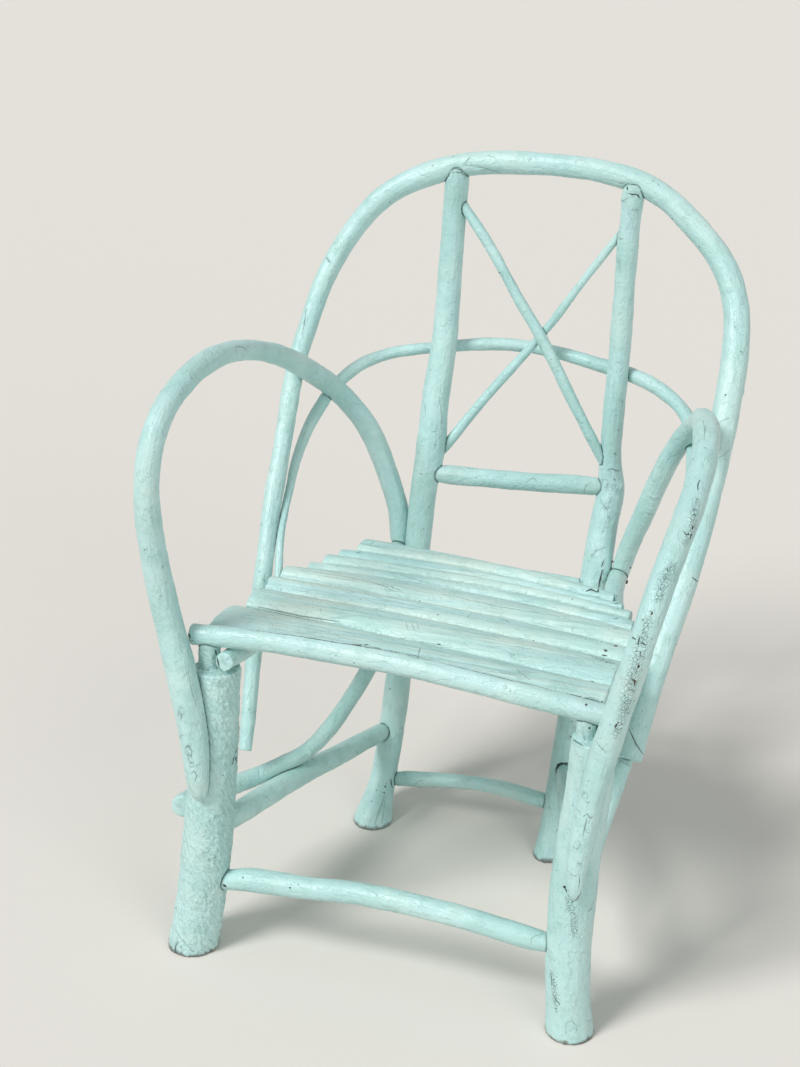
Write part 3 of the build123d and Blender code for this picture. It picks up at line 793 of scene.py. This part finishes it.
# ---- skins ----
# Each layer of relief: (what it follows, height, size of its bumps, seed, layers of noise).
# A size with three numbers is along, across and through the grain.
POLE_RELIEF = [
    ("place", 0.00080, 0.050, 0, 1),                    # swellings
    ("place", 0.00035, 0.017, 3, 1),                    # dents
    ("grain", 0.00030, (0.070, 0.007, 0.007), 7, 2),    # ribs
    ("place", 0.00014, 0.005, 11, 2),                   # uneven paint
]
SLAT_RELIEF = [
    ("grain", 0.00120, (0.500, 0.014, 0.030), 0, 1),    # ridges as long as the slat
    ("grain", 0.00060, (0.130, 0.005, 0.010), 3, 2),    # finer ridges
    ("grain", 0.00030, (0.090, 0.030, 0.030), 6, 1),    # humps
    ("grain", 0.00022, (0.010, 0.004, 0.006), 7, 2),    # uneven paint
]
SEEDS_APART = 100           # between one piece and the next
FLAKE_SIZE = (0.024, 0.012, 0.012)
FLAKE_SEED = 15
FLAKE_LAYERS = 3
FLAKED_ABOVE = 0.55         # where this noise is higher, a layer of paint has come off
FLAKE_EDGE = 0.12           # by how much the noise rises over the flake's edge
FLAKE_DEPTH = 0.00040
BARK_SIZE = (0.0050, 0.0030, 0.0030)
BARK_SEED = 21
BARK_LAYERS = 2
BARK_HEIGHT = 0.00110
BARK_SHIFT = 0.15           # more of the bark stands out than lies deep
BARK_RANGE = (-0.6, 0.9)
BARK_PATCH_SIZE = 0.03      # of patches of higher and lower bark
BARK_PATCH_SEED = 25
BARK_PATCH_MEAN = 0.9
BARK_PATCH_CHANGE = 0.3
HOLLOW_SLOPE = 1.2          # how quickly the painted shade in the bark's hollows deepens
CHECK_SIZE = (0.22, 0.012, 0.03)
CHECK_SEED = 9
CHECK_WIDTH = 0.06          # by how much the noise changes over half a check
CHECK_DEPTH = 0.0009
OPEN_SIZE = (0.10, 0.03, 0.03)      # of the stretches in which a check is open
OPEN_SEED = 12
OPEN_SLOPE = 2.5
OPEN_SHIFT = 0.2
# painted shade in a slat's checks and in a pole's bark hollows, as a share of full darkness
CHECK_SHADE = 0.20
BARK_HOLLOW_SHADE = 0.10
HIGH_SPAN = 0.0012          # from the relief that counts as low to the relief that counts as high
HIGH_SHIFT = 0.4
POLE_HIGHS = 0.4            # how strongly a pole's high places show, beside a slat's
FLATTENED = 0.85            # how much of the relief is lost where pieces touch
FLATTENED_SLOPE = 1.5
POLE_CONTACT_SHADE = 0.8            # how strongly the painted shade where pieces touch shows on a pole, beside a slat
WORN_HEIGHT = 0.005         # how far up the feet the paint is worn off
WORN_SHIFT = 1.25
WORN_CHANGE = 0.5
WORN_SEED = 3
WORN_BARENESS = 0.8
NAIL_ROUGHNESS = 0.00012
NAIL_BUMP = 0.0015
NAIL_SEED = 50
RUSTY_X = 0.12              # rust comes through on some of the nails beyond this
RUST_SIZE = 0.05
RUST_SEED = 60
RUSTY_ABOVE = 0.1           # where this noise is higher, nails are rusty


def relief(layers, points, grain, seed):
    """How far several layers of bumps stand out from the smooth surface."""
    height = np.zeros(len(points))
    for follows, rise, size, shift, count in layers:
        where = grain if follows == "grain" else points
        height += rise * layered_noise(where, size, seed + shift, count)
    return height


def pole_relief(name, points, grain, seed):
    """How far a pole's surface stands out from the smooth one, and how deep its bark is."""
    height = relief(POLE_RELIEF, points, grain, seed)
    flaked = layered_noise(grain, FLAKE_SIZE, seed + FLAKE_SEED, FLAKE_LAYERS)
    height -= FLAKE_DEPTH * eased((flaked - FLAKED_ABOVE) / FLAKE_EDGE)
    if name not in BARK:
        return height, np.zeros(len(points))
    rough = layered_noise(grain, BARK_SIZE, seed + BARK_SEED, BARK_LAYERS)
    patch = layered_noise(points, BARK_PATCH_SIZE, seed + BARK_PATCH_SEED)
    bark = np.clip(rough + BARK_SHIFT, *BARK_RANGE) * (BARK_PATCH_MEAN + BARK_PATCH_CHANGE * patch)
    height += BARK[name] * BARK_HEIGHT * bark
    return height, BARK[name] * eased(-rough * HOLLOW_SLOPE)


def slat_relief(points, grain, seed):
    """How far a slat's surface stands out from the smooth one, and how deep its checks are."""
    height = relief(SLAT_RELIEF, points, grain, seed)
    split = layered_noise(grain, CHECK_SIZE, seed + CHECK_SEED)
    open_here = eased(layered_noise(grain, OPEN_SIZE, seed + OPEN_SEED) * OPEN_SLOPE + OPEN_SHIFT)
    check = eased(1 - np.abs(split) / CHECK_WIDTH) * open_here
    return height - CHECK_DEPTH * check, check


def give_attribute(mesh, name, kind, values):
    """Store a value at each vertex, for the materials to read."""
    attribute = mesh.attributes.new(name, kind, "POINT")
    field = "vector" if kind == "FLOAT_VECTOR" else "value"
    attribute.data.foreach_set(field, np.asarray(values, np.float32).ravel())


def place_skin(name, mesh, material):
    """Put a skin in the scene in the place of its node."""
    mesh.materials.append(material)
    mesh.shade_smooth()
    skin = bpy.data.objects.new("painted_" + name, mesh)
    bpy.context.scene.collection.objects.link(skin)
    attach(skin, "root")
    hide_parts(name)


def make_skin(index, name, mesh, marks, near_cells, trees, material):
    """The painted surface that stands for one wooden piece of the frame."""
    points = places(mesh)
    normals = directions(mesh)
    is_slat = name in SLATS
    line = None if is_slat else centre_line(points, normals)
    grain, runs = grain_of(name, points, line)
    area = len(points) * voxel_of(name)**2
    marks = marks + hidden_marks(points, normals, runs, area, trees[name])
    refine(mesh, marks)
    points = places(mesh)
    normals = directions(mesh)
    grain, runs = grain_of(name, points, line)
    seed = SEEDS_APART * index
    # the darkness of a slat's checks and of a pole's bark hollows is painted shade in them
    if is_slat:
        height, hollow = slat_relief(points, grain, seed)
        dark = CHECK_SHADE * hollow
    else:
        height, hollow = pole_relief(name, points, grain, seed)
        dark = BARK_HOLLOW_SHADE * hollow
    high = eased(height / HIGH_SPAN + HIGH_SHIFT)
    close = nearness(name, points, near_cells, trees)
    height *= 1 - FLATTENED * eased(close * FLATTENED_SLOPE)
    bare = np.zeros(len(points))
    crazed = np.zeros(len(points))
    work_in(points, marks, height, dark, bare, crazed)
    worn_edge = WORN_SHIFT + WORN_CHANGE * layered_noise(points, WORN_HEIGHT, WORN_SEED)
    worn = eased(worn_edge - points[:, 2] / WORN_HEIGHT)
    bare = np.maximum(bare, WORN_BARENESS * worn)
    points = points + normals * height[:, None]
    points = np.clip(points, np.array(cad_box[0]), np.array(cad_box[1]))
    mesh.vertices.foreach_set("co", points.ravel())
    give_attribute(mesh, "grain", "FLOAT_VECTOR", grain)
    give_attribute(mesh, "dark", "FLOAT", dark)
    give_attribute(mesh, "bare", "FLOAT", bare)
    # painted shade where the piece touches the others, weaker on the poles
    give_attribute(mesh, "contact_shade", "FLOAT", close if is_slat else POLE_CONTACT_SHADE * close)
    give_attribute(mesh, "crazed", "FLOAT", crazed)
    give_attribute(mesh, "bark", "FLOAT", np.full(len(points), BARK.get(name, 0.0)))
    give_attribute(mesh, "high", "FLOAT", high if is_slat else POLE_HIGHS * high)
    place_skin(name, mesh, material)


def make_nails(index, name, material):
    """Hammered nails with rounded heads, that stand for one node of nails."""
    mesh = remeshed(name, NAIL_VOXEL, NAIL_ROUNDING)
    points = places(mesh)
    hammered = NAIL_ROUGHNESS * layered_noise(points, NAIL_BUMP, NAIL_SEED + index, 2)
    points += directions(mesh) * hammered[:, None]
    mesh.vertices.foreach_set("co", points.ravel())
    patchy = layered_noise(points, RUST_SIZE, RUST_SEED + index)
    give_attribute(mesh, "rust", "FLOAT", (points[:, 0] > RUSTY_X) & (patchy > RUSTY_ABOVE))
    place_skin(name, mesh, material)


# ---- materials ----
def rgb(red, green, blue):
    """A colour that shows as these 0 to 255 values."""
    def linear(value):
        share = value / 255
        return share / 12.92 if share <= 0.04045 else ((share + 0.055) / 1.055) ** 2.4
    return (linear(red), linear(green), linear(blue), 1.0)


PAINT = rgb(172, 211, 208)
PAINT_LIGHT = rgb(186, 220, 218)
PAINT_GREEN = rgb(160, 201, 195)
PAINT_CREAM = rgb(205, 220, 205)
# dark green: painted shade where pieces touch, and dark dirt in the bare wood
CORNER_SHADE_AND_DIRT = rgb(44, 70, 64)
# near black: dark cracks, dirt and rust pits, and painted shade in hollows
CRACK_DIRT_AND_SHADE = rgb(38, 48, 42)
BARE_WOOD = rgb(108, 72, 56)
RUST = rgb(128, 84, 66)
FLOOR = rgb(226, 221, 214)
BACKDROP = rgb(233, 229, 222)
SKY = (0.94, 0.98, 1.0, 1.0)
BUMP_HEIGHT = 0.0014
MIX_SHARE = 0               # the places of a colour mix's sockets among all that the node has
MIX_FIRST = 6
MIX_SECOND = 7
MIX_RESULT = 2


class Shading:
    """A short way to write a material's nodes."""

    def __init__(self, name):
        self.material = bpy.data.materials.new(name)
        self.material.use_nodes = True
        self.tree = self.material.node_tree
        self.shader = self.tree.nodes["Principled BSDF"]

    def link(self, value, socket):
        """Feed a socket with another node's output or with a plain value."""
        if isinstance(value, bpy.types.NodeSocket):
            self.tree.links.new(value, socket)
        else:
            socket.default_value = value

    def add(self, kind, settings=None, **inputs):
        """A new node with these settings and inputs."""
        node = self.tree.nodes.new(kind)
        for key, value in (settings or {}).items():
            setattr(node, key, value)
        for key, value in inputs.items():
            self.link(value, node.inputs[key.replace("_", " ")])
        return node

    def attribute(self, name, output="Fac"):
        """What was stored at the mesh's vertices under this name."""
        return self.add("ShaderNodeAttribute", {"attribute_name": name}).outputs[output]

    def noise(self, vector, scale, detail=2.0):
        """Noise with this many bumps in a metre, and this many finer layers."""
        return self.add("ShaderNodeTexNoise", Vector=vector, Scale=scale, Detail=detail).outputs["Fac"]

    def mix(self, share, first, second):
        """The first colour, with this share of the second."""
        node = self.add("ShaderNodeMix", {"data_type": "RGBA"})
        self.link(share, node.inputs[MIX_SHARE])
        self.link(first, node.inputs[MIX_FIRST])
        self.link(second, node.inputs[MIX_SECOND])
        return node.outputs[MIX_RESULT]

    def combine(self, operation, first, second):
        """Two values put together. All but sums are kept from 0 to 1."""
        node = self.add("ShaderNodeMath", {"operation": operation, "use_clamp": operation != "ADD"})
        self.link(first, node.inputs[0])
        self.link(second, node.inputs[1])
        return node.outputs[0]

    def span(self, value, low, high, first=0.0, last=1.0):
        """Stretch value's range from low to high over first to last, with soft ends."""
        node = self.add("ShaderNodeMapRange", {"interpolation_type": "SMOOTHSTEP"}, Value=value)
        ends = {"From Min": low, "From Max": high, "To Min": first, "To Max": last}
        for name, number in ends.items():
            node.inputs[name].default_value = number
        return node.outputs[0]

    def stretched(self, vector, scale):
        """A vector multiplied by another."""
        node = self.add("ShaderNodeVectorMath", {"operation": "MULTIPLY"})
        self.link(vector, node.inputs[0])
        node.inputs[1].default_value = scale
        return node.outputs[0]


def paint_material():
    """Thick aqua paint: clouded and brushed, cream on the seat's ridges, with painted shade in the corners
    where pieces meet.
    """
    look = Shading("aqua_paint")
    place = look.add("ShaderNodeTexCoord").outputs["Object"]
    grain = look.attribute("grain", "Vector")
    crazed = look.attribute("crazed")
    bare = look.attribute("bare")
    clouds = look.noise(place, 9.0, 3.0)
    blotches = look.noise(place, 38.0, 3.0)
    brushing = look.noise(look.stretched(grain, (18.0, 300.0, 300.0)), 1.0, 3.0)
    flaking = look.noise(look.stretched(grain, (45.0, 110.0, 110.0)), 1.0, 4.0)
    dimples = look.noise(place, 190.0, 3.0)
    fine = look.noise(place, 450.0, 2.0)
    barky = look.noise(place, 260.0, 4.0)
    net = look.add("ShaderNodeTexVoronoi", {"feature": "DISTANCE_TO_EDGE"}, Vector=place, Scale=230.0)
    from_net = net.outputs["Distance"]

    colour = look.mix(look.span(clouds, 0.38, 0.62), PAINT, PAINT_LIGHT)
    colour = look.mix(look.span(blotches, 0.48, 0.70, 0.0, 0.55), colour, PAINT_GREEN)
    colour = look.mix(look.span(brushing, 0.45, 0.75, 0.0, 0.35), colour, PAINT_LIGHT)
    creamy = look.span(clouds, 0.35, 0.65, 0.15, 0.55)
    colour = look.mix(look.combine("MULTIPLY", look.attribute("high"), creamy), colour, PAINT_CREAM)
    # painted shade where pieces touch, broken up by the dimples
    cornered = look.span(look.attribute("contact_shade"), 0.50, 0.92)
    broken = look.span(dimples, 0.35, 0.55, 0.50, 1.0)
    colour = look.mix(look.combine("MULTIPLY", cornered, broken), colour, CORNER_SHADE_AND_DIRT)
    wood = look.mix(look.span(fine, 0.35, 0.65), BARE_WOOD, CORNER_SHADE_AND_DIRT)
    colour = look.mix(bare, colour, wood)

    # the crazed paint's net of cracks, torn into flecks
    torn = look.combine("MULTIPLY", look.span(from_net, 0.01, 0.06, 1.0, 0.0), look.span(fine, 0.52, 0.58))
    torn = look.combine("MAXIMUM", torn, look.span(fine, 0.65, 0.68))
    torn = look.combine("MULTIPLY", torn, look.span(dimples, 0.53, 0.59))
    flecks = look.combine("MULTIPLY", look.combine("MULTIPLY", torn, crazed), 0.80)
    # darkness of the marks and of the bark hollows and checks, partly painted shade, with the crazed
    # paint's flecks
    dark = look.combine("MAXIMUM", look.attribute("dark"), flecks)
    look.link(look.mix(dark, colour, CRACK_DIRT_AND_SHADE), look.shader.inputs["Base Color"])

    rough = look.span(brushing, 0.3, 0.7, 0.30, 0.44)
    rough = look.combine("MAXIMUM", rough, look.combine("MAXIMUM", dark, bare))
    look.link(rough, look.shader.inputs["Roughness"])

    dented = look.combine("MULTIPLY", dimples, look.span(blotches, 0.40, 0.65, 0.12, 0.70))
    cracked = look.combine("MULTIPLY", look.span(from_net, 0.0, 0.2), crazed)
    height = look.combine("MULTIPLY", brushing, 0.5)
    height = look.combine("ADD", height, look.combine("MULTIPLY", fine, 0.4))
    height = look.combine("ADD", height, dented)
    height = look.combine("ADD", height, look.span(flaking, 0.56, 0.60, 0.30, 0.0))
    height = look.combine("ADD", height, look.combine("MULTIPLY", barky, look.attribute("bark")))
    height = look.combine("ADD", height, cracked)
    bump = look.add("ShaderNodeBump", Strength=1.0, Distance=BUMP_HEIGHT, Height=height)
    look.link(bump.outputs["Normal"], look.shader.inputs["Normal"])
    return look.material


def nail_material():
    """Nail heads under the same paint, rusty where it has come off."""
    look = Shading("painted_nails")
    place = look.add("ShaderNodeTexCoord").outputs["Object"]
    fine = look.noise(place, 900.0, 2.0)
    rust = look.mix(look.span(fine, 0.35, 0.65), RUST, CRACK_DIRT_AND_SHADE)
    patchy = look.span(look.noise(place, 300.0), 0.40, 0.50)
    worn = look.combine("MULTIPLY", look.attribute("rust"), patchy)
    look.link(look.mix(worn, PAINT, rust), look.shader.inputs["Base Color"])
    look.link(look.span(worn, 0.0, 1.0, 0.42, 0.85), look.shader.inputs["Roughness"])
    return look.material


def floor_material():
    """A plain, dull floor."""
    look = Shading("floor")
    look.shader.inputs["Base Color"].default_value = FLOOR
    look.shader.inputs["Roughness"].default_value = 0.9
    return look.material


# ---- stage ----
FLOOR_REACH = 40.0          # from its middle to each side
SUNS = [                    # name, where it shines from, the angle that it fills in degrees, strength
    ("window", (-0.55, -0.70, 0.90), 20.0, 2.35),
    ("fill", (0.85, -0.70, 0.50), 35.0, 0.7),
]
SKY_STRENGTH = 0.40


def make_floor():
    """A wide floor under the chair."""
    mesh = bpy.data.meshes.new("floor")
    reach = FLOOR_REACH
    corners = [(-reach, -reach, 0), (reach, -reach, 0), (reach, reach, 0), (-reach, reach, 0)]
    mesh.from_pydata(corners, [], [(0, 1, 2, 3)])
    mesh.materials.append(floor_material())
    floor = bpy.data.objects.new("floor", mesh)
    bpy.context.scene.collection.objects.link(floor)


def make_sun(name, towards, angle, strength):
    """Soft light from far away, from the direction of towards."""
    data = bpy.data.lights.new(name, "SUN")
    data.angle = math.radians(angle)
    data.energy = strength
    lamp = bpy.data.objects.new(name, data)
    bpy.context.scene.collection.objects.link(lamp)
    lamp.rotation_mode = "QUATERNION"
    lamp.rotation_quaternion = Vector(towards).to_track_quat("Z", "Y")


def larger(tree, first, second):
    """The larger of two values."""
    node = tree.nodes.new("ShaderNodeMath")
    node.operation = "MAXIMUM"
    tree.links.new(first, node.inputs[0])
    tree.links.new(second, node.inputs[1])
    return node.outputs[0]


def make_world():
    """Plain light from all round, in front of a backdrop as pale as the floor."""
    world = bpy.data.worlds.new("studio")
    world.use_nodes = True
    tree = world.node_tree
    light = tree.nodes["Background"]
    light.inputs["Color"].default_value = SKY
    light.inputs["Strength"].default_value = SKY_STRENGTH
    backdrop = tree.nodes.new("ShaderNodeBackground")
    backdrop.inputs["Color"].default_value = BACKDROP
    rays = tree.nodes.new("ShaderNodeLightPath").outputs
    mirrored = larger(tree, rays["Is Glossy Ray"], rays["Is Transmission Ray"])
    mixed = tree.nodes.new("ShaderNodeMixShader")
    tree.links.new(larger(tree, rays["Is Camera Ray"], mirrored), mixed.inputs[0])
    tree.links.new(light.outputs[0], mixed.inputs[1])
    tree.links.new(backdrop.outputs[0], mixed.inputs[2])
    tree.links.new(mixed.outputs[0], tree.nodes["World Output"].inputs["Surface"])
    bpy.context.scene.world = world


make_camera()
make_world()
make_floor()
for name, towards, angle, strength in SUNS:
    make_sun(name, towards, angle, strength)
bpy.context.scene.view_settings.view_transform = "Standard"

meshes = {name: remeshed(name, voxel_of(name), POLE_ROUNDING) for name in POLES}
meshes.update({name: remeshed(name, voxel_of(name), SLAT_ROUNDING) for name in SLATS})
search_trees = {name: search_tree(nodes[name].data) for name in POLES + SLATS}
near_cells = {name: spread_cells(places(mesh)) for name, mesh in meshes.items()}
marks_on = seen_marks(search_trees)

paint = paint_material()
for index, name in enumerate(POLES + SLATS):
    make_skin(index, name, meshes[name], marks_on[name], near_cells, search_trees, paint)
nail_paint = nail_material()
for index, name in enumerate(NAILS):
    make_nails(index, name, nail_paint)
